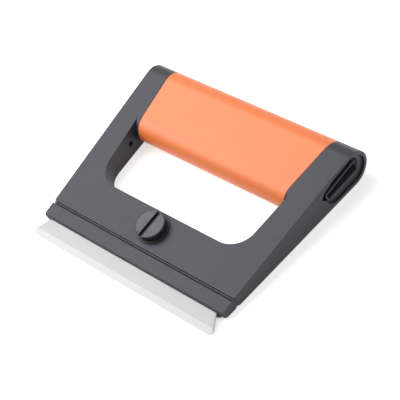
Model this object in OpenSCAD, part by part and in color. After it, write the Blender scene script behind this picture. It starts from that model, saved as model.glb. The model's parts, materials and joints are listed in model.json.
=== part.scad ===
// Wide blade scraper: a wedge-shaped frame with a finger window and a soft grip,
// a nose bar and a clamp plate that hold a ceramic blade, and one large clamp screw.
// Millimetres. Every piece is drawn in the panel's frame (X across, Y from the blade
// towards the handle, Z out of the top panel) and then tilted so that the underside is level.

/* [Body] */
// Width of the body at the blade end of the top panel
body_front_width = 120; // [110:1:140]
// Depth from the blade end of the top panel to the back of the handle
body_depth = 94.3; // [92:0.1:105]
// Thickness of the body at the blade end
front_thickness = 7; // [6.8:0.1:8.5]
// Angle between the top panel and the underside, in degrees
wedge_angle = 9; // [8:0.1:11]
// Outward lean of each outer side, in degrees
side_flare = 3.4; // [1:0.1:5]
// Radius of the body's two front corners, seen from above
body_corner_radius = 0.8; // [0.5:0.1:2.4]

/* [Finger window] */
// Depth of the bridge between the groove and the window
bridge_depth = 20.5; // [19.5:0.1:24]
// Clear space for the fingers between the bridge and the grip
finger_gap = 31.5; // [28:0.1:33]
// Width of each arm where it leaves the bridge
arm_width = 14.8; // [13.5:0.1:17]
// Outward lean of the window's sides, in degrees
window_flare = 6.8; // [4:0.1:8]
// Radius of the window's two front corners
window_corner_radius = 13; // [6:0.5:15]

/* [Grip] */
// Thickness of the soft grip
grip_wall = 3; // [2:0.1:3.4]
// Width of the frame's collar that shows at each end of the grip
grip_collar = 2.5; // [1.5:0.1:3.5]

/* [Handle storage] */
// Width of the rim round the handle's open end
step_rim = 1.9; // [1.5:0.1:2.5]
// Depth of the shallow step inside the rim
step_depth = 1.2; // [0.6:0.1:3]
// Reach of the step in front of the storage sleeve
step_reach = 0.6; // [0.2:0.1:2.4]
// Thickness of the panel above the open end's recess
rim_wall = 2.7; // [1.8:0.1:3]
// Thickness of the handle behind the recess
rim_back = 4.6; // [4:0.1:6]
// Depth of the open end's recess
recess_depth = 10; // [6:0.5:10.5]
// Reach of the recess's point in front of the storage sleeve
recess_point = 2.8; // [2:0.1:4]
// Radius of the recess's corners
recess_corner_radius = 0.8; // [0.4:0.1:1.2]
// Radius of the recess's back end
recess_back_radius = 3; // [2:0.5:6]
// Depth of the storage sleeve's top below the panel
sleeve_drop = 5.4; // [4.6:0.1:6]
// Height of the storage sleeve at its front
sleeve_height = 5.2; // [4.5:0.1:5.6]
// Slope of the storage sleeve's lower wall against the panel, in degrees
sleeve_slope = 6.8; // [4:0.1:8]
// Radius of the storage sleeve's front corners
sleeve_corner_radius = 1.6; // [0.5:0.1:2]
// Wall of the storage sleeve
sleeve_wall = 1; // [0.6:0.1:1.2]
// Gap between the back of the sleeve and the back of the recess
sleeve_gap = 2.7; // [2:0.1:3.4]
// Depth of the sleeve's rim below the side of the handle
sleeve_setback = 0.3; // [0.2:0.1:3]
// Thickness of the frame's wall at the closed end of the storage
storage_end_wall = 3; // [2:0.1:5]
// Room beside the edges of a stored blade
blade_slack = 0.85; // [0.5:0.05:1.2]

/* [Lanyard hole] */
// Diameter of the lanyard hole through one arm
lanyard_diameter = 3; // [2:0.1:5]
// Distance of the lanyard hole's axis in front of the grip
lanyard_setback = 5; // [3:0.1:8]

/* [Nose bar] */
// Depth of the nose bar, front to back
nose_depth = 7.8; // [7:0.1:9]
// Thickness of the lip over the blade
lip_thickness = 1.7; // [1.4:0.1:2]
// Height of the nose bar's underside above the body's underside
nose_raise = 0.3; // [0.2:0.05:1.6]
// Radius of the nose bar's back edges
nose_edge_radius = 0.5; // [0.3:0.1:1.2]
// Radius of the nose bar's upper front edge
nose_front_radius = 1.7; // [0.9:0.1:2]
// Radius of the nose bar's lower front edge
nose_toe_radius = 3; // [1:0.1:3.2]
// Radius of the nose bar's front corners, seen from above
nose_corner_radius = 1.4; // [0.8:0.1:3]
// Width of the cheek beside each end of the blade, at the front
cheek_width = 4; // [3.5:0.1:6]
// Depth that each cheek is cut back beside the lower jaw
cheek_relief = 3; // [2:0.1:4]
// Thickness of the skirt left at each end of the nose bar
skirt_width = 1.3; // [1:0.1:2]
// Width of the narrow slot between the top panel and the ledge
ledge_slot = 0.3; // [0.2:0.05:0.6]
// Width of the ledge in the groove
ledge_width = 0.6; // [0.4:0.1:1.6]
// Drop of the ledge below the top panel
ledge_drop = 0.25; // [0.1:0.05:1.2]
// Step in of the ledge at the sides and below
ledge_inset = 0.4; // [0.3:0.1:1.2]
// Width of the groove between the ledge and the nose bar
groove_gap = 0.5; // [0.3:0.1:1]
// Depth of the groove on both sides of the ledge
groove_depth = 1.3; // [1.3:0.1:1.6]
// Reach of the nose bar's legs under the bridge
leg_length = 15; // [13:0.5:16]
// Width of each leg
leg_width = 5; // [4.6:0.1:5.4]
// Thickness of each leg
leg_thickness = 2; // [1.5:0.1:2.2]
// Width of the frame's rail outside each leg
rail_width = 2.6; // [2:0.1:3.5]

/* [Blade] */
// Length of blade that stands out of the nose bar
blade_exposure = 10.1; // [8:0.1:12]
// Thickness of the blade
blade_thickness = 1.2; // [0.8:0.1:1.3]
// Lean of the blade's ends, in degrees
blade_taper = 28; // [15:1:32]
// Width of the bevel along the cutting edge
blade_bevel = 3.2; // [2:0.1:6]
// Height of the flat left along the cutting edge
edge_land = 0.1; // [0.05:0.05:0.2]
// Radius of the blade's front corners
blade_corner_radius = 2.2; // [0.5:0.1:2.5]
// Width of the ground band along each end of the blade
end_bevel = 1.2; // [1:0.1:4]
// Drop of the ground band at the blade's end
end_bevel_drop = 0.3; // [0.1:0.1:0.6]

/* [Clamp] */
// Distance of the screw's axis behind the groove
screw_setback = 11.1; // [10:0.1:12]
// Diameter of the screw's shank
screw_diameter = 5; // [4:0.5:6]
// Diameter of the screw's head
head_diameter = 15.2; // [12:0.1:17]
// Thickness of the screw's head
head_height = 3.8; // [3:0.1:5]
// Chamfer round the head's top edge
head_chamfer = 0.35; // [0.2:0.05:0.8]
// Width of the head's slot
slot_width = 2.3; // [1.2:0.1:2.5]
// Depth of the head's slot
slot_depth = 1.5; // [1:0.1:2.4]
// Turn of the slot from the body's front-to-back line, in degrees
slot_turn = -3; // [-90:1:90]
// Diameter of the washer
washer_diameter = 17.4; // [16:0.1:18]
// Thickness of the washer
washer_thickness = 0.6; // [0.4:0.1:1]
// Diameter of the bush in the bridge
bush_diameter = 8; // [7.4:0.1:10]
// Diameter of the retaining ring
ring_diameter = 8.4; // [7.4:0.1:9]
// Thickness of the retaining ring
ring_thickness = 0.6; // [0.4:0.1:0.8]
// Depth of the ring's groove in the shank
ring_groove = 0.45; // [0.3:0.05:0.6]
// Width across the nut's flats
nut_flats = 8; // [7.6:0.1:9]
// Height of the nut
nut_height = 2.4; // [2:0.1:2.6]
// Web of the clamp plate above the nut
nut_web = 0.8; // [0.6:0.1:1]
// Distance from the groove to the back of the clamp plate
plate_reach = 18; // [17.2:0.1:18.2]
// Reach of the clamp plate past the nose bar's front
plate_lead = 1; // [0.3:0.1:1.3]
// Radius of the clamp plate's front corners
plate_corner_radius = 2.5; // [1:0.1:3]
// Height of the clamp plate's underside above the body's underside
plate_raise = 0.8; // [0.5:0.1:1]
// Rise of the clamp plate's heel above its blade face
heel_rise = 0.3; // [0.2:0.05:0.5]
// Width of the clamp plate's heel
heel_width = 3; // [2:0.1:3]
// Web of the frame between the clamp plate and each leg
pocket_web = 1.7; // [1.2:0.1:2.5]
// Diameter of the guide pins
pin_diameter = 3; // [2:0.1:4]
// Distance between the guide pins
pin_spacing = 68; // [40:1:80]

/* [Nose bar screws] */
// Diameter of the nose bar's screws
nose_screw_diameter = 3; // [2:0.1:3]
// Diameter of their heads
nose_head_diameter = 4.6; // [4:0.1:4.6]
// Height of their heads
nose_head_height = 1.4; // [1:0.1:1.4]
// Distance from the groove to the first pair
nose_screw_first = 4; // [3.5:0.1:5]
// Distance between the pairs
nose_screw_pitch = 7; // [6:0.1:8]

/* [Fits] */
// Clearance of a piece that slides or turns on another
running_fit = 0.05; // [0.02:0.01:0.1]
// Clearance of a piece that is seated in another
seat_fit = 0.02; // [0.01:0.01:0.05]
// Free gap beside a moving piece
moving_gap = 0.3; // [0.2:0.05:0.5]
// Solid skin left above a blind hole in the bridge
blind_skin = 0.8; // [0.6:0.1:1.2]

/* [Hidden] */
$fn = 96;
// Overshoot of a cut past the face that it opens
over = 1;
// Size of a cutting block that clears the whole body
far = 300;
// Largest turn between neighbouring points of a rounded corner, in degrees
corner_turn = 7.5;
// Steps in a full round of the handle
round_steps = 36;

body_half = body_front_width / 2;
slope = tan(wedge_angle);
// Radius share of a circle that touches both the panel and the underside
touch_share = 1 / (1 + 1 / cos(wedge_angle));

// Full round at the back of the handle
back_radius = touch_share * (front_thickness + slope * body_depth) / (1 + touch_share * slope);
back_y = body_depth - back_radius;

// Groove, ledge and nose bar along Y
ledge_back = -ledge_slot;
ledge_front = ledge_back - ledge_width;
nose_back = ledge_front - groove_gap;
nose_front = nose_back - nose_depth;
neck_front = nose_back + seat_fit;

// Blade along Y
blade_back = -running_fit;
blade_edge = nose_front - blade_exposure;
blade_width = blade_back - blade_edge;

// Storage sleeve along Y, and the depth of handle that its recess needs
sleeve_span = blade_width + 2 * blade_slack + sleeve_wall;
storage_depth = rim_back + sleeve_gap + sleeve_span + recess_point + rim_wall;
sleeve_back = body_depth - rim_back - sleeve_gap;
sleeve_front = sleeve_back - sleeve_span;

// Full round at the front of the handle, behind the fingers' space,
// or further forward in a body so short that the recess needs the depth
grip_front = min(bridge_depth + finger_gap, body_depth - storage_depth);
front_radius = touching_radius(grip_front);
front_y = grip_front + front_radius;

// Front round of the handle's outline that the step's rim follows
step_front = sleeve_front - step_reach - step_rim;
step_radius = touching_radius(step_front);

window_front_half = side_half(bridge_depth) - arm_width;

// Blade and jaws along Z
blade_top = -lip_thickness - running_fit;
blade_bottom = blade_top - blade_thickness;
plate_top = blade_bottom - running_fit;
ceiling = plate_top + heel_rise;
heel_top = ceiling - running_fit;

// Blade at the nose bar's front, and its cutting edge along Z
blade_front_half = body_half - cheek_width - moving_gap;
edge_z = blade_bottom + edge_land;

// Legs of the nose bar and the clamp plate between them
leg_outer = body_half - rail_width - seat_fit;
leg_inner = leg_outer - leg_width;
leg_x = (leg_inner + leg_outer) / 2;
leg_top = ceiling - seat_fit;
leg_bottom = leg_top - leg_thickness;
plate_half = leg_inner - seat_fit - pocket_web - moving_gap;
plate_front = nose_front - plate_lead;
skirt_inner = side_half(nose_front) - skirt_width;
flange_half = skirt_inner - moving_gap;
flange_back = nose_front + cheek_relief - moving_gap;

// Clamp screw and what sits on it, along Z
shank_radius = screw_diameter / 2;
bush_bore = shank_radius + running_fit;
ring_top = ceiling - running_fit;
ring_bottom = ring_top - ring_thickness;
ring_seat = shank_radius - ring_groove;
counterbore = ring_bottom - moving_gap;
nut_top = counterbore - nut_web;
shank_end = plate_raise / 2 - underside(screw_setback - shank_radius);

lanyard_y = grip_front - lanyard_setback;

// Middle of the footprint, front to back, and the height of the panel's front edge
footprint_front = blade_edge * cos(wedge_angle) - edge_z * sin(wedge_angle);
footprint_back = back_y * cos(wedge_angle) + back_radius * sin(wedge_angle) + back_radius;
footprint_middle = (footprint_front + footprint_back) / 2;
panel_height = front_thickness * cos(wedge_angle);

// Half width of the body, and of the window, at a distance behind the groove
function side_half(y) = body_half + y * tan(side_flare);
function window_half(y) = window_front_half + (y - bridge_depth) * tan(window_flare);

// Depth of the underside, and of the body's middle, below the panel
function underside(y) = front_thickness + slope * y;
function middle(y) = -underside(y) / 2;

// Radius of the round that begins at a distance behind the groove and touches panel and underside
function touching_radius(y) = touch_share * underside(y) / (1 - touch_share * slope);

// Half length of the blade at a distance behind the groove
function blade_half(y) = blade_front_half + (nose_front - y) * tan(blade_taper);

// Depth of the storage sleeve's lower face
function sleeve_low(y) = -sleeve_drop - sleeve_height - (y - sleeve_front) * tan(sleeve_slope);

// Points of an arc, without its centre
function arc(centre, radius, from, to, steps) =
    [for (i = [0:steps]) let (a = from + (to - from) * i / steps)
        centre + radius * [cos(a), sin(a)]];

// Direction of a vector, in degrees
function heading(v) = atan2(v[1], v[0]);

// Points round one corner of an outline: an arc that touches both edges, or the corner itself
function corner(before, here, after, radius) =
    let (
        start = heading(here - before) - 90,
        turn = (heading(after - here) - 90 - start + 360) % 360,
        bisector = start + turn / 2,
        centre = here - radius / cos(turn / 2) * [cos(bisector), sin(bisector)]
    )
    radius == 0 ? [here] : arc(centre, radius, start, start + turn, ceil(turn / corner_turn));

// Outline that runs anticlockwise through some corners, each rounded to its own radius
function rounded(corners, radii) =
    let (n = len(corners))
    [for (i = [0:n - 1])
        each corner(corners[(i + n - 1) % n], corners[i], corners[(i + 1) % n], radii[i])];

// Tilts the panel's frame so that the underside lies level, under the middle of the footprint
module seated() {
    translate([0, -footprint_middle, panel_height]) rotate([wedge_angle, 0, 0]) children();
}

// Sweeps a section, drawn as Y and Z, across the whole body
module across() {
    rotate([90, 0, 90]) linear_extrude(height = far, center = true) children();
}

// Sweeps a plan, drawn as X and Y, through the whole body
module through() {
    linear_extrude(height = far, center = true) children();
}

// Plan of the body between two side insets, left and right, over a stretch of Y
module body_plan(y1, y2, left, right) {
    polygon([
        [-side_half(y1) + left, y1],
        [side_half(y1) - right, y1],
        [side_half(y2) - right, y2],
        [-side_half(y2) + left, y2]
    ]);
}

// Plan between the window's sides, moved in by an inset
module window_sides(y1, y2, inset) {
    polygon([
        [-window_half(y1) + inset, y1],
        [window_half(y1) - inset, y1],
        [window_half(y2) - inset, y2],
        [-window_half(y2) + inset, y2]
    ]);
}

// Plan that widens towards the back from two rounded front corners
module flared_plan(front, half, flare, radius) {
    far_half = half + (far - front) * tan(flare);
    polygon(rounded(
        [[-half, front], [half, front], [far_half, far], [-far_half, far]],
        [radius, radius, 0, 0]
    ));
}

// Two circles and the band between their outer tangents
module tapered_slot(c1, r1, c2, r2) {
    d = c2 - c1;
    line = heading(d);
    spread = acos((r1 - r2) / norm(d));
    polygon(concat(
        arc(c1, r1, line + spread, line + 360 - spread, round_steps),
        arc(c2, r2, line - spread, line + spread, round_steps)
    ));
}

// Section of the handle, moved in by an inset
module handle_section(inset) {
    tapered_slot([front_y, -front_radius], front_radius - inset,
        [back_y, -back_radius], back_radius - inset);
}

// Section of the storage sleeve as far as its open back, grown or shrunk
module sleeve_section(grow, back) {
    top = grow - sleeve_drop;
    front = sleeve_front - grow;
    sink = grow / cos(sleeve_slope);
    radius = max(0, sleeve_corner_radius + grow);
    polygon(rounded(
        [[back, top], [front, top], [front, sleeve_low(front) - sink], [back, sleeve_low(back) - sink]],
        [0, radius, radius, 0]
    ));
}

// Section of the shallow step inside the open end's rim
module step_section() {
    tapered_slot([step_front + step_radius, -step_radius], step_radius - step_rim,
        [back_y, -back_radius], back_radius - step_rim);
}

// Section of the recess round the storage sleeve, pointed at its front
module recess_section() {
    r = recess_corner_radius;
    low_back = sleeve_low(sleeve_back);
    polygon(rounded(
        [
            [sleeve_back, -rim_wall],
            [sleeve_front + sleeve_wall, -rim_wall],
            [sleeve_front - recess_point, -sleeve_drop],
            [sleeve_front, sleeve_low(sleeve_front)],
            [sleeve_back, low_back],
            [sleeve_back + sleeve_gap, (low_back - rim_wall) / 2]
        ],
        [r, r, r, r, r, recess_back_radius]
    ));
}

// Side view of the whole body
module body_section() {
    polygon(concat(
        [[0, 0], [0, -front_thickness]],
        arc([back_y, -back_radius], back_radius, -90 - wedge_angle, 90, round_steps)
    ));
}

// Hexagon with a given width across its flats
module hexagon(flats) {
    circle(d = flats / cos(30), $fn = 6);
}

// Places of the nose bar's screws, at the height of the legs' undersides
module at_nose_screws() {
    for (side = [-1, 1], row = [0, 1])
        translate([side * leg_x, nose_screw_first + row * nose_screw_pitch, leg_bottom]) children();
}

// Places of the guide pins, at the height of the bridge's ceiling
module at_guide_pins() {
    for (side = [-1, 1])
        translate([side * pin_spacing / 2, screw_setback, ceiling]) children();
}

// Axis of the clamp screw, at the height of the top panel
module at_screw() {
    translate([0, screw_setback, 0]) children();
}

// Bridge, arms, collars and core of the handle, without any pocket
module frame_solid() {
    intersection() {
        across() body_section();
        through() difference() {
            flared_plan(0, body_half, side_flare, body_corner_radius);
            flared_plan(bridge_depth, window_front_half, window_flare, window_corner_radius);
        }
    }
    intersection() {
        across() handle_section(0);
        through() difference() {
            window_sides(0, far, -over);
            window_sides(-over, far + over, grip_collar);
        }
    }
    intersection() {
        across() handle_section(grip_wall);
        through() window_sides(0, far, -over);
    }
    neck();
}

// Neck in front of the bridge, which forms the ledge and the floor of the groove
module neck() {
    intersection() {
        across() polygon([
            [ledge_front, -ledge_drop],
            [ledge_back, -ledge_drop],
            [ledge_back, -groove_depth],
            [over, -groove_depth],
            [over, ledge_inset - underside(over)],
            [neck_front, ledge_inset - underside(neck_front)],
            [neck_front, -groove_depth],
            [ledge_front, -groove_depth]
        ]);
        through() body_plan(neck_front, over, ledge_inset, ledge_inset);
    }
}

// Rooms under the bridge for the blade, the clamp plate and the legs
module clamp_pockets() {
    pocket_outer = leg_outer + seat_fit;
    translate([-pocket_outer, -far, -far])
        cube([2 * pocket_outer, far, far - lip_thickness]);
    translate([-plate_half - moving_gap, -over, ceiling - far])
        cube([2 * (plate_half + moving_gap), over + plate_reach + moving_gap, far]);
    for (side = [-1, 1])
        translate([side * leg_x - leg_width / 2 - seat_fit, -over, ceiling - far])
            cube([leg_width + 2 * seat_fit, over + leg_length + seat_fit, far]);
}

// Room that a section takes from the right end of the handle, to a depth below its side
module open_end(depth) {
    intersection() {
        across() children();
        through() polygon([
            [side_half(0) - depth, 0],
            [far, 0],
            [far, far],
            [side_half(far) - depth, far]
        ]);
    }
}

// Step and recess in the right end of the handle, and the pocket for the storage sleeve
module storage_cuts() {
    open_end(step_depth) step_section();
    open_end(recess_depth) recess_section();
    intersection() {
        across() sleeve_section(seat_fit, sleeve_back + seat_fit);
        through() body_plan(0, far, storage_end_wall, -over);
    }
}

module frame() {
    color("dimgray") seated() difference() {
        frame_solid();
        clamp_pockets();
        storage_cuts();
        at_screw() cylinder(d = bush_diameter + 2 * seat_fit, h = far, center = true);
        at_guide_pins() translate([0, 0, -over])
            cylinder(d = pin_diameter + 2 * seat_fit, h = over - ceiling - blind_skin);
        at_nose_screws()
            cylinder(d = nose_screw_diameter + 2 * seat_fit, h = -leg_bottom - blind_skin);
        translate([-side_half(lanyard_y) - over, lanyard_y, middle(lanyard_y)])
            rotate([0, 90, 0])
            cylinder(d = lanyard_diameter, h = arm_width + 2 * over);
    }
}

module grip() {
    color("coral") seated() intersection() {
        across() difference() {
            handle_section(0);
            handle_section(grip_wall - seat_fit);
        }
        through() window_sides(0, far, grip_collar + seat_fit);
    }
}

module storage_sleeve() {
    color("gray") seated() intersection() {
        across() difference() {
            sleeve_section(0, sleeve_back);
            sleeve_section(-sleeve_wall, sleeve_back + over);
        }
        through() body_plan(0, far, storage_end_wall + seat_fit, sleeve_setback);
    }
}

// Side view of the nose bar with rounded long edges
module nose_section() {
    low_front = nose_raise - underside(nose_front);
    low_back = nose_raise - underside(nose_back);
    toe_radius = min(nose_toe_radius, -low_front - nose_front_radius);
    polygon(rounded(
        [[nose_back, 0], [nose_front, 0], [nose_front, low_front], [nose_back, low_back]],
        [nose_edge_radius, nose_front_radius, toe_radius, nose_edge_radius]
    ));
}

module nose_bar() {
    color("dimgray") seated() difference() {
        union() {
            intersection() {
                across() nose_section();
                through() flared_plan(nose_front, side_half(nose_front), side_flare, nose_corner_radius);
            }
            for (side = [-1, 1])
                translate([side * leg_x - leg_width / 2, nose_back - over, leg_bottom])
                    cube([leg_width, over - nose_back + leg_length, leg_thickness]);
        }
        translate([0, 0, -lip_thickness - far])
            linear_extrude(height = far)
            polygon([
                [-blade_half(nose_front - over) - moving_gap, nose_front - over],
                [blade_half(nose_front - over) + moving_gap, nose_front - over],
                [blade_half(0) + moving_gap, 0],
                [-blade_half(0) - moving_gap, 0]
            ]);
        translate([-skirt_inner, nose_front - over, -lip_thickness - far])
            cube([2 * skirt_inner, over + cheek_relief, far]);
        at_nose_screws() cylinder(d = nose_screw_diameter + 2 * seat_fit, h = far, center = true);
    }
}

module nose_screws() {
    color("silver") seated() at_nose_screws() {
        cylinder(d = nose_screw_diameter, h = -leg_bottom - blind_skin - moving_gap);
        translate([0, 0, -nose_head_height]) difference() {
            cylinder(d = nose_head_diameter, h = nose_head_height);
            translate([0, 0, -over])
                linear_extrude(height = over + nose_head_height / 2)
                hexagon(nose_screw_diameter / 2);
        }
    }
}

// Plan of the blade, wider at its cutting edge, with rounded front corners
module blade_plan() {
    back_half = blade_half(blade_back);
    edge_half = blade_half(blade_edge);
    polygon(rounded(
        [
            [-back_half, blade_back],
            [-edge_half, blade_edge],
            [edge_half, blade_edge],
            [back_half, blade_back]
        ],
        [0, blade_corner_radius, blade_corner_radius, 0]
    ));
}

// Section of the wedge that a bevel takes off the blade's top, from the edge inwards
module bevel_section(width, drop) {
    rise = over * drop / width;
    polygon([[width + over, rise], [-over, -drop - rise], [-over, over]]);
}

module blade() {
    color("white") seated() difference() {
        translate([0, 0, blade_bottom]) linear_extrude(height = blade_thickness) blade_plan();
        translate([0, blade_edge, blade_top]) across() bevel_section(blade_bevel, blade_top - edge_z);
        for (side = [0, 1])
            mirror([side, 0, 0]) translate([blade_half(0), 0, blade_top])
                rotate([0, 0, 90 + blade_taper]) across() bevel_section(end_bevel, end_bevel_drop);
    }
}

// Plan of the clamp plate: a wide front flange and a heel between the legs
module plate_plan() {
    r = plate_corner_radius;
    polygon(rounded(
        [
            [-flange_half, flange_back],
            [-flange_half, plate_front],
            [flange_half, plate_front],
            [flange_half, flange_back]
        ],
        [0, r, r, 0]
    ));
    translate([-plate_half, flange_back - over])
        square([2 * plate_half, plate_reach - flange_back + over]);
}

module clamp_plate() {
    color("dimgray") seated() difference() {
        intersection() {
            across() polygon([
                [plate_front, plate_top],
                [plate_reach - heel_width, plate_top],
                [plate_reach - heel_width, heel_top],
                [plate_reach, heel_top],
                [plate_reach, plate_raise - underside(plate_reach)],
                [plate_front, plate_raise - underside(plate_front)]
            ]);
            through() plate_plan();
        }
        at_screw() {
            translate([0, 0, counterbore]) cylinder(d = ring_diameter + 2 * moving_gap, h = far);
            cylinder(r = shank_radius + moving_gap, h = far, center = true);
            translate([0, 0, nut_top - far])
                linear_extrude(height = far)
                hexagon(nut_flats + 2 * seat_fit);
        }
        at_guide_pins() cylinder(d = pin_diameter + 2 * running_fit, h = far, center = true);
    }
}

module clamp_nut() {
    color("goldenrod") seated() at_screw() translate([0, 0, nut_top - seat_fit - nut_height])
        difference() {
            linear_extrude(height = nut_height) hexagon(nut_flats);
            cylinder(r = shank_radius + running_fit, h = far, center = true);
        }
}

module guide_pins() {
    pin_top = -blind_skin - moving_gap;
    pin_end = plate_raise - underside(screw_setback);
    color("silver") seated() at_guide_pins() translate([0, 0, pin_end - ceiling])
        cylinder(d = pin_diameter, h = pin_top - pin_end);
}

module clamp_screw() {
    head_radius = head_diameter / 2;
    head_bottom = washer_thickness + running_fit;
    head_top = washer_thickness + head_height;
    color("gray") seated() at_screw() difference() {
        rotate_extrude() polygon([
            [0, shank_end],
            [shank_radius, shank_end],
            [shank_radius, ring_bottom - running_fit],
            [ring_seat, ring_bottom - running_fit],
            [ring_seat, ring_top + running_fit / 2],
            [shank_radius, ring_top + running_fit / 2],
            [shank_radius, head_bottom],
            [head_radius, head_bottom],
            [head_radius, head_top - head_chamfer],
            [head_radius - head_chamfer, head_top],
            [0, head_top]
        ]);
        rotate([0, 0, slot_turn]) translate([0, 0, head_top])
            cube([slot_width, far, 2 * slot_depth], center = true);
    }
}

module screw_washer() {
    color("gray") seated() at_screw() translate([0, 0, running_fit / 2]) difference() {
        cylinder(d = washer_diameter, h = washer_thickness);
        cylinder(r = shank_radius + running_fit, h = far, center = true);
    }
}

module screw_bush() {
    color("goldenrod") seated() at_screw() translate([0, 0, ceiling]) difference() {
        cylinder(d = bush_diameter, h = -ceiling);
        cylinder(r = bush_bore, h = far, center = true);
    }
}

module retaining_ring() {
    color("silver") seated() at_screw() translate([0, 0, ring_bottom]) difference() {
        cylinder(d = ring_diameter, h = ring_thickness);
        cylinder(r = ring_seat + seat_fit, h = far, center = true);
    }
}

frame();
grip();
storage_sleeve();
nose_bar();
nose_screws();
blade();
clamp_plate();
clamp_nut();
guide_pins();
clamp_screw();
screw_washer();
screw_bush();
retaining_ring();
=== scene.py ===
import json
import math

import bmesh
import bpy
from mathutils import Matrix, Vector


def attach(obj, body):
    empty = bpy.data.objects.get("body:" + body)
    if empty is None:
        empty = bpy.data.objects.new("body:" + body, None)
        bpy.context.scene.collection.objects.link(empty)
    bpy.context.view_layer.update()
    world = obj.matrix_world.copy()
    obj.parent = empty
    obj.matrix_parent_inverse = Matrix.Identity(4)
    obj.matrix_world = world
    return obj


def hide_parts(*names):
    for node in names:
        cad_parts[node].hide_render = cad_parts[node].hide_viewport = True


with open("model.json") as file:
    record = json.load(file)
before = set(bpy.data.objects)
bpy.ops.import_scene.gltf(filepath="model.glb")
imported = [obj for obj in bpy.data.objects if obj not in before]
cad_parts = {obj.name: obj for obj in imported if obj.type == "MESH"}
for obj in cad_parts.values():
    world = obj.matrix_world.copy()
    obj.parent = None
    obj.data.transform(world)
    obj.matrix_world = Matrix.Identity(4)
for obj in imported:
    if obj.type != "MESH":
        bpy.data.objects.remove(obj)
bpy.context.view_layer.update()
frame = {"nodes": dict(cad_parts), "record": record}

MM = 0.001

# The panel's frame: X across, Y from the groove to the handle, Z out of the top panel.
# The clamp screw stands square on the panel, so its joint gives the panel's tilt and place.
SCREW_SETBACK = 11.1 * MM
JOINTS = {joint["name"]: joint for joint in frame["record"]["behaviour"]["joints"]}
SCREW_AXIS = Vector(JOINTS["screw_turn"]["axis"])
SCREW_FOOT = Vector(JOINTS["screw_turn"]["pos_m"])
WEDGE = math.atan2(-SCREW_AXIS.y, SCREW_AXIS.z)
TILT = Matrix.Rotation(WEDGE, 4, "X")
PANEL = Matrix.Translation(SCREW_FOOT) @ TILT @ Matrix.Translation((0, -SCREW_SETBACK, 0))
TO_PANEL = PANEL.inverted()


# Materials


class Nodes:
    """A material's node tree, with short ways to add and link nodes."""

    def __init__(self, name):
        self.material = bpy.data.materials.new(name)
        self.material.use_nodes = True
        self.tree = self.material.node_tree
        self.tree.nodes.clear()
        self.output = self.add("ShaderNodeOutputMaterial")

    def add(self, kind, values=None, **settings):
        node = self.tree.nodes.new(kind)
        for key, value in settings.items():
            setattr(node, key, value)
        for key, value in (values or {}).items():
            if isinstance(value, bpy.types.NodeSocket):
                self.tree.links.new(value, node.inputs[key])
            else:
                node.inputs[key].default_value = value
        return node

    def place(self, scale=(1, 1, 1)):
        """Object coordinates in metres, stretched along each axis."""
        coords = self.add("ShaderNodeTexCoord").outputs["Object"]
        values = {"Vector": coords, "Scale": scale}
        return self.add("ShaderNodeMapping", values).outputs["Vector"]

    def noise(self, vector, scale, detail=2.0, rough=0.5):
        values = {"Vector": vector, "Scale": scale, "Detail": detail, "Roughness": rough}
        return self.add("ShaderNodeTexNoise", values).outputs["Fac"]

    def length(self, vector):
        return self.add("ShaderNodeVectorMath", {0: vector}, operation="LENGTH").outputs["Value"]

    def spread(self, value, low, high, start=0.3, end=0.7):
        """Maps start to end, by default the middle of a noise, onto low to high."""
        values = {"Value": value, "From Min": start, "From Max": end,
                  "To Min": low, "To Max": high}
        return self.add("ShaderNodeMapRange", values).outputs["Result"]

    def around(self, value, middle, reach):
        return self.spread(value, middle - reach, middle + reach)

    def blend(self, factor, first, second):
        values = {0: factor, 6: first, 7: second}
        return self.add("ShaderNodeMix", values, data_type="RGBA").outputs[2]

    def math(self, operation, first, second=0.0):
        return self.add("ShaderNodeMath", {0: first, 1: second}, operation=operation).outputs[0]

    def bump(self, height, strength, depth, below=None):
        values = {"Height": height, "Strength": strength, "Distance": depth}
        if below is not None:
            values["Normal"] = below
        return self.add("ShaderNodeBump", values).outputs["Normal"]

    def principled(self, values):
        shader = self.add("ShaderNodeBsdfPrincipled", values)
        self.tree.links.new(shader.outputs["BSDF"], self.output.inputs["Surface"])
        return self.material


def grey(value, blue=1.0):
    return (value, value, value * blue, 1)


def shade(colour, factor):
    return tuple(min(1.0, channel * factor) for channel in colour) + (1,)


def moulding(name, tone, blue, rough, specular):
    """Matte moulded plastic: a fine spark-eroded grain, a faint cloudiness and a cool sheen."""
    n = Nodes(name)
    at = n.place()
    clouds = n.noise(at, scale=45, detail=3)
    speckle = n.noise(at, scale=1500)
    colour = n.blend(n.spread(clouds, 0, 1), grey(tone * 0.97, blue), grey(tone * 1.03, blue))
    grain = n.bump(n.noise(at, scale=2600, detail=3, rough=0.6), strength=0.12, depth=0.05 * MM)
    return n.principled({
        "Base Color": n.blend(n.spread(speckle, 0, 0.35), colour, grey(tone * 1.12, blue)),
        "Roughness": n.around(n.noise(at, scale=700), rough, 0.04),
        "Specular IOR Level": specular,
        "Specular Tint": (0.87, 0.88, 1, 1),
        "Normal": n.bump(clouds, strength=0.04, depth=0.2 * MM, below=grain),
    })


def rubber(name, colour, rough, specular):
    """Soft moulded grip: fine satin grain, slight colour drift and a soft sheen."""
    n = Nodes(name)
    at = n.place()
    drift = n.noise(at, scale=30, detail=3)
    speckle = n.noise(at, scale=2200)
    mixed = n.blend(n.spread(drift, 0, 1), shade(colour, 0.97), shade(colour, 1.02))
    grain = n.noise(at, scale=3200, rough=0.6)
    return n.principled({
        "Base Color": n.blend(n.spread(speckle, 0, 0.12), mixed, shade(colour, 0.85)),
        "Roughness": n.around(n.noise(at, scale=900), rough, 0.03),
        "Specular IOR Level": specular,
        "Normal": n.bump(grain, strength=0.08, depth=0.04 * MM),
    })


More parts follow.
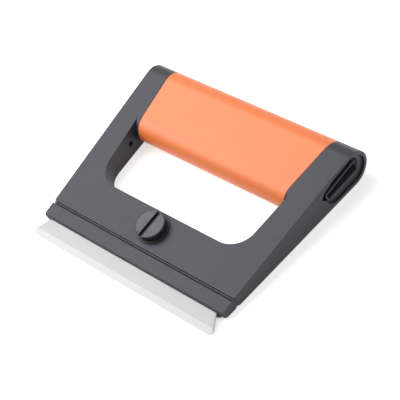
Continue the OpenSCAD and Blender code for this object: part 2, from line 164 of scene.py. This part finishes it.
def ceramic(name, tone, rough):
    """Fired ceramic: nearly even, with faint cloudy density and a satin skin."""
    n = Nodes(name)
    at = n.place()
    clouds = n.noise(at, scale=90, detail=4, rough=0.6)
    pores = n.noise(at, scale=1800)
    colour = n.blend(n.spread(clouds, 0, 1), grey(tone * 0.985), grey(tone * 1.01))
    # The pores are painted slightly darker than the ceramic, as painted shade in them.
    pore_painted_shade = n.spread(pores, 0, 0.3, start=0.6, end=0.8)
    return n.principled({
        "Base Color": n.blend(pore_painted_shade, colour, grey(tone * 0.94)),
        "Roughness": n.around(n.noise(at, scale=400), rough, 0.04),
        "Normal": n.bump(pores, strength=0.05, depth=0.02 * MM),
    })


def ground_ceramic_painted_light(name, tone, rough):
    """The ground bevel: fine grinding marks that run from the edge towards the back. Its tone is
    given lighter than the flat ceramic's, as painted light.
    """
    n = Nodes(name)
    marks = n.noise(n.place(scale=(5200, 90, 90)), scale=1)
    return n.principled({
        "Base Color": n.blend(n.spread(marks, 0, 1), grey(tone * 0.985), grey(tone * 1.01)),
        "Roughness": n.around(marks, rough, 0.06),
        "Normal": n.bump(marks, strength=0.05, depth=0.01 * MM),
    })


def turned(name, tone, blue, rough, ring_pitch):
    """Metal turned on a lathe about the clamp screw's axis, with fine rings."""
    n = Nodes(name)
    from_foot = {0: n.place(), 1: SCREW_FOOT}
    local = n.add("ShaderNodeVectorMath", from_foot, operation="SUBTRACT").outputs[0]
    on_panel = {"Vector": local, "Rotation": (-WEDGE, 0, 0), "Scale": (1, 1, 0)}
    radius = n.length(n.add("ShaderNodeMapping", on_panel).outputs[0])
    rings = n.math("SINE", n.math("MULTIPLY", radius, 2 * math.pi / ring_pitch))
    clouds = n.noise(n.place(), scale=300, detail=3)
    colour = n.blend(n.spread(clouds, 0, 1), grey(tone * 0.96, blue), grey(tone * 1.05, blue))
    return n.principled({
        "Base Color": colour,
        "Metallic": 1.0,
        "Roughness": n.around(clouds, rough, 0.05),
        "Normal": n.bump(rings, strength=0.06, depth=0.02 * MM),
    })


def brushed(name, colour, rough, stretch):
    """Bare metal with fine brush marks along one direction."""
    n = Nodes(name)
    marks = n.noise(n.place(scale=stretch), scale=1, detail=3, rough=0.6)
    dull = n.noise(n.place(), scale=120, detail=3)
    dark = shade(colour, 0.88)
    streaked = n.blend(n.spread(marks, 0, 1), dark, shade(colour, 1))
    return n.principled({
        "Base Color": n.blend(n.spread(dull, 0, 0.3), streaked, dark),
        "Metallic": 1.0,
        "Roughness": n.around(marks, rough, 0.07),
        "Normal": n.bump(marks, strength=0.1, depth=0.02 * MM),
    })


BODY = moulding("dark_moulding", tone=0.034, blue=1.17, rough=0.42, specular=0.36)
LINER = moulding("liner_moulding", tone=0.046, blue=1.15, rough=0.5, specular=0.3)
GRIP = rubber("orange_rubber", (0.95, 0.235, 0.065), rough=0.42, specular=0.54)
CERAMIC = ceramic("white_ceramic", tone=0.535, rough=0.35)
# The bevel and the ends are a lighter copy of the ceramic: the lighter tone is painted light for
# the light that falls more on them, and the grinding marks are real.
BEVEL = ground_ceramic_painted_light("ground_ceramic_painted_light", tone=0.68, rough=0.4)
SCREW = turned("grey_metal", tone=0.065, blue=1.1, rough=0.48, ring_pitch=0.45 * MM)
# The washer's tone is set darker than the screw's, as painted shade under the screw head.
WASHER_PAINTED_SHADE = turned("washer_metal_painted_shade", tone=0.045, blue=1.05, rough=0.55, ring_pitch=0.3 * MM)
STEEL = brushed("bright_steel", (0.6, 0.6, 0.62), rough=0.3, stretch=(900, 60, 60))
ANODISED = brushed("dark_aluminium", (0.06, 0.06, 0.065), rough=0.45, stretch=(60, 2600, 2600))
BRASS = brushed("plain_brass", (0.72, 0.53, 0.25), rough=0.3, stretch=(80, 80, 1500))


# Pieces: each is its CAD solid with its edges rounded as the real one's are

WELD_DISTANCE = 0.0005 * MM
LEVEL_WITHIN = math.radians(0.3)
ROUNDED_ABOVE = math.radians(28)
CREASED_ABOVE = math.radians(32)
ROUNDING_STEPS = 3


def weigh_edges(mesh, width_at):
    """Joins a CAD mesh into whole faces, and weighs its sharp outer edges by their rounding."""
    bm = bmesh.new()
    bm.from_mesh(mesh)
    bmesh.ops.remove_doubles(bm, verts=bm.verts, dist=WELD_DISTANCE)
    bmesh.ops.dissolve_limit(bm, angle_limit=LEVEL_WITHIN, verts=bm.verts, edges=bm.edges)
    weight = bm.edges.layers.float.new("bevel_weight_edge")
    for edge in bm.edges:
        if edge.is_manifold and edge.is_convex and edge.calc_face_angle() > ROUNDED_ABOVE:
            middle = TO_PANEL @ ((edge.verts[0].co + edge.verts[1].co) / 2)
            edge[weight] = width_at(middle / MM)
    for face in bm.faces:
        face.material_index = 0
    bm.to_mesh(mesh)
    bm.free()


def round_edges(piece):
    """Gives a piece a new mesh, with its weighed edges rounded and no faces without area."""
    bevel = piece.modifiers.new("edge rounding", "BEVEL")
    bevel.width = 1 * MM
    bevel.segments = ROUNDING_STEPS
    bevel.limit_method = "WEIGHT"
    bevel.use_clamp_overlap = False
    bevel.loop_slide = False
    bpy.context.view_layer.update()
    shown = piece.evaluated_get(bpy.context.evaluated_depsgraph_get())
    done = bpy.data.meshes.new_from_object(shown)
    piece.modifiers.clear()
    weighed = piece.data
    piece.data = done
    bpy.data.meshes.remove(weighed)
    done.name = piece.name
    bm = bmesh.new()
    bm.from_mesh(done)
    bmesh.ops.dissolve_degenerate(bm, dist=WELD_DISTANCE, edges=bm.edges)
    bm.to_mesh(done)
    bm.free()


def smooth_shading(piece):
    """Smooth over the roundings, level on the flat faces, and cut into even triangles."""
    piece.data.shade_smooth()
    piece.data.set_sharp_from_angle(angle=CREASED_ABOVE)
    normals = piece.modifiers.new("flat faces stay flat", "WEIGHTED_NORMAL")
    normals.keep_sharp = True
    triangles = piece.modifiers.new("even triangles", "TRIANGULATE")
    triangles.min_vertices = 5
    triangles.ngon_method = "BEAUTY"
    triangles.keep_custom_normals = True


def rounded(node, body, name, materials, width_at, material_for=None):
    """A copy of a CAD node whose sharp outer edges are rounded, which stands for the node.

    width_at(point) gives the rounding's width at a point, both in millimetres in the panel's
    frame. material_for(normal) gives the place in materials for a face with that normal.
    """
    mesh = frame["nodes"][node].data.copy()
    mesh.materials.clear()
    for material in materials:
        mesh.materials.append(material)
    weigh_edges(mesh, width_at)
    piece = bpy.data.objects.new(name, mesh)
    bpy.context.scene.collection.objects.link(piece)
    round_edges(piece)
    if material_for:
        for face in piece.data.polygons:
            face.material_index = material_for(TO_PANEL.to_3x3() @ face.normal)
    smooth_shading(piece)
    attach(piece, body)
    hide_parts(node)


def even(width):
    return lambda point: width


# Places on the frame and the nose bar, in millimetres in the panel's frame
FRONT_HALF_WIDTH = 60
SIDE_FLARE = math.tan(math.radians(3.4))
GROOVE_BACK = -0.05
BRIDGE_HALF_WIDTH, BRIDGE_BACK, BRIDGE_SKIN = 58, 18.6, 2
WINDOW_FRONT, WINDOW_HALF_WIDTHS, UNDERSIDE_DEPTH = 25, (47, 54.5), 10
END_FRONT, END_INNER, END_RIM, END_DEPTH = 60, 50, 0.6, 3
LEG_FRONT, LEG_DEPTH = -1.45, 2
CORNER_HALF_WIDTH, CORNER_BACK = 58.2, -7.6


def frame_edges(point):
    """Fine round the groove, and none under the bridge, under the window and in the open end."""
    x, y, z = point
    if y < GROOVE_BACK:
        return 0.08
    narrow, wide = WINDOW_HALF_WIDTHS
    rim = FRONT_HALF_WIDTH + y * SIDE_FLARE - END_RIM
    under_bridge = abs(x) < BRIDGE_HALF_WIDTH and y < BRIDGE_BACK and z < -BRIDGE_SKIN
    under_window = narrow < abs(x) < wide and y > WINDOW_FRONT and z < -UNDERSIDE_DEPTH
    in_open_end = END_INNER < x < rim and y > END_FRONT and z < -END_DEPTH
    return 0.0 if under_bridge or under_window or in_open_end else 0.2


def nose_edges(point):
    """None on the hidden legs and on the ridges of the small front corners."""
    x, y, z = point
    on_leg = y > LEG_FRONT and z < -LEG_DEPTH
    on_corner = abs(x) > CORNER_HALF_WIDTH and y < CORNER_BACK
    return 0.0 if on_leg or on_corner else 0.12


def blade_material(normal):
    """The bevel along the edge and the ends are ground and take the second material, whose
    lighter tone is painted light.
    """
    on_bevel = normal.z > 0.5 and normal.y < -0.1 and abs(normal.x) < 0.1
    on_end = abs(normal.z) < 0.5
    return 1 if on_bevel or on_end else 0


rounded("frame", "frame", "frame_moulding", [BODY], frame_edges)
rounded("grip", "frame", "grip_sleeve", [GRIP], even(0.2))
rounded("storage_sleeve", "frame", "storage_liner", [LINER], even(0.15))
rounded("nose_bar", "frame", "nose_lip", [BODY], nose_edges)
rounded("nose_screws", "frame", "leg_screws", [STEEL], even(0.15))
rounded("blade", "blade", "ceramic_blade", [CERAMIC, BEVEL], even(0.03),
        blade_material)
rounded("clamp_plate", "jaw", "lower_jaw", [ANODISED], even(0.12))
rounded("clamp_nut", "jaw", "hex_nut", [BRASS], even(0.2))
rounded("guide_pins", "frame", "dowel_pins", [STEEL], even(0.25))
rounded("clamp_screw", "screw", "slotted_screw", [SCREW], even(0.15))
rounded("screw_washer", "screw", "flat_washer", [WASHER_PAINTED_SHADE], even(0.12))
rounded("screw_bush", "frame", "bridge_bush", [BRASS], even(0.1))
rounded("retaining_ring", "screw", "snap_ring", [STEEL], even(0.1))


# Studio: a white floor that keeps a soft shadow, soft light from the upper left and from the
# left in front, and a little from the right

FLOOR_HALF = 4.0
FLOOR_LEVEL = -0.05 * MM
FLOOR_GLOW = 0.62
# Far from the lamps the floor glows more, so that it stays white up to the horizon
GLOW_RISES_FROM, GLOW_IS_WHITE_AT = 0.4, 1.6


def seen_directly(nodes):
    """1 where a camera, a mirror or a clear piece looks, 0 for light that is only scattered."""
    path = nodes.new("ShaderNodeLightPath")
    total = path.outputs["Is Camera Ray"]
    for extra in ("Is Glossy Ray", "Is Transmission Ray"):
        add = nodes.new("ShaderNodeMath")
        add.operation = "MAXIMUM"
        nodes.id_data.links.new(total, add.inputs[0])
        nodes.id_data.links.new(path.outputs[extra], add.inputs[1])
        total = add.outputs[0]
    return total


def white_floor():
    n = Nodes("white_floor")
    fog = n.noise(n.place(), scale=3)
    paper = n.add("ShaderNodeBsdfDiffuse", {"Color": n.blend(fog, grey(0.88), grey(0.9))})
    rise = n.spread(n.length(n.place()), FLOOR_GLOW, 1.0, GLOW_RISES_FROM, GLOW_IS_WHITE_AT)
    strength = n.math("MULTIPLY", seen_directly(n.tree.nodes), rise)
    glow = n.add("ShaderNodeEmission", {"Color": grey(1.0), "Strength": strength})
    both = n.add("ShaderNodeAddShader", {0: paper.outputs[0], 1: glow.outputs[0]})
    n.tree.links.new(both.outputs[0], n.output.inputs["Surface"])
    signs = ((-1, -1), (1, -1), (1, 1), (-1, 1))
    corners = [(x * FLOOR_HALF, y * FLOOR_HALF, FLOOR_LEVEL) for x, y in signs]
    mesh = bpy.data.meshes.new("floor")
    mesh.from_pydata(corners, [], [(0, 1, 2, 3)])
    mesh.materials.append(n.material)
    floor = bpy.data.objects.new("floor", mesh)
    bpy.context.scene.collection.objects.link(floor)


def studio_world(strength):
    """Even light of this strength, in front of a white backdrop."""
    world = bpy.data.worlds.new("studio")
    bpy.context.scene.world = world
    world.use_nodes = True
    nodes, links = world.node_tree.nodes, world.node_tree.links
    nodes.clear()
    output = nodes.new("ShaderNodeOutputWorld")
    mix = nodes.new("ShaderNodeMixShader")
    links.new(seen_directly(nodes), mix.inputs[0])
    for place, level in ((1, strength), (2, 1.0)):
        background = nodes.new("ShaderNodeBackground")
        background.inputs["Color"].default_value = grey(1.0)
        background.inputs["Strength"].default_value = level
        links.new(background.outputs[0], mix.inputs[place])
    links.new(mix.outputs[0], output.inputs["Surface"])


def softbox(name, place, size, power):
    """A rectangular lamp that faces the object."""
    lamp = bpy.data.lights.new(name, "AREA")
    lamp.shape = "RECTANGLE"
    lamp.size, lamp.size_y = size
    lamp.energy = power
    box = bpy.data.objects.new(name, lamp)
    box.location = place
    box.rotation_mode = "QUATERNION"
    box.rotation_quaternion = (-Vector(place)).to_track_quat("-Z", "Y")
    bpy.context.scene.collection.objects.link(box)


white_floor()
studio_world(strength=0.26)
softbox("key", (-0.72, 0.12, 1.12), size=(0.9, 0.9), power=9.6)
softbox("fore", (-0.76, -0.62, 0.86), size=(0.9, 0.7), power=9)
softbox("right", (0.9, 0.5, 0.6), size=(0.8, 0.8), power=1.6)


# Camera at the photograph's angle

CAMERA_PLACE = (343.10 * MM, -221.516 * MM, 438.20 * MM)
CAMERA_RIGHT = Vector((0.73466, 0.63099, -0.24926))
CAMERA_UP = Vector((-0.36897, 0.67992, 0.63370))
CAMERA_BACK = Vector((0.56933, -0.37359, 0.73233))

camera = bpy.data.cameras.new("camera")
camera.sensor_width = 36
camera.lens = 110.11
camera.clip_start = 0.01
camera.clip_end = 20
viewer = bpy.data.objects.new("camera", camera)
turn = Matrix((CAMERA_RIGHT, CAMERA_UP, CAMERA_BACK)).transposed().to_4x4()
viewer.matrix_world = Matrix.Translation(CAMERA_PLACE) @ turn
bpy.context.scene.collection.objects.link(viewer)
bpy.context.scene.camera = viewer
bpy.context.scene.view_settings.view_transform = "Standard"
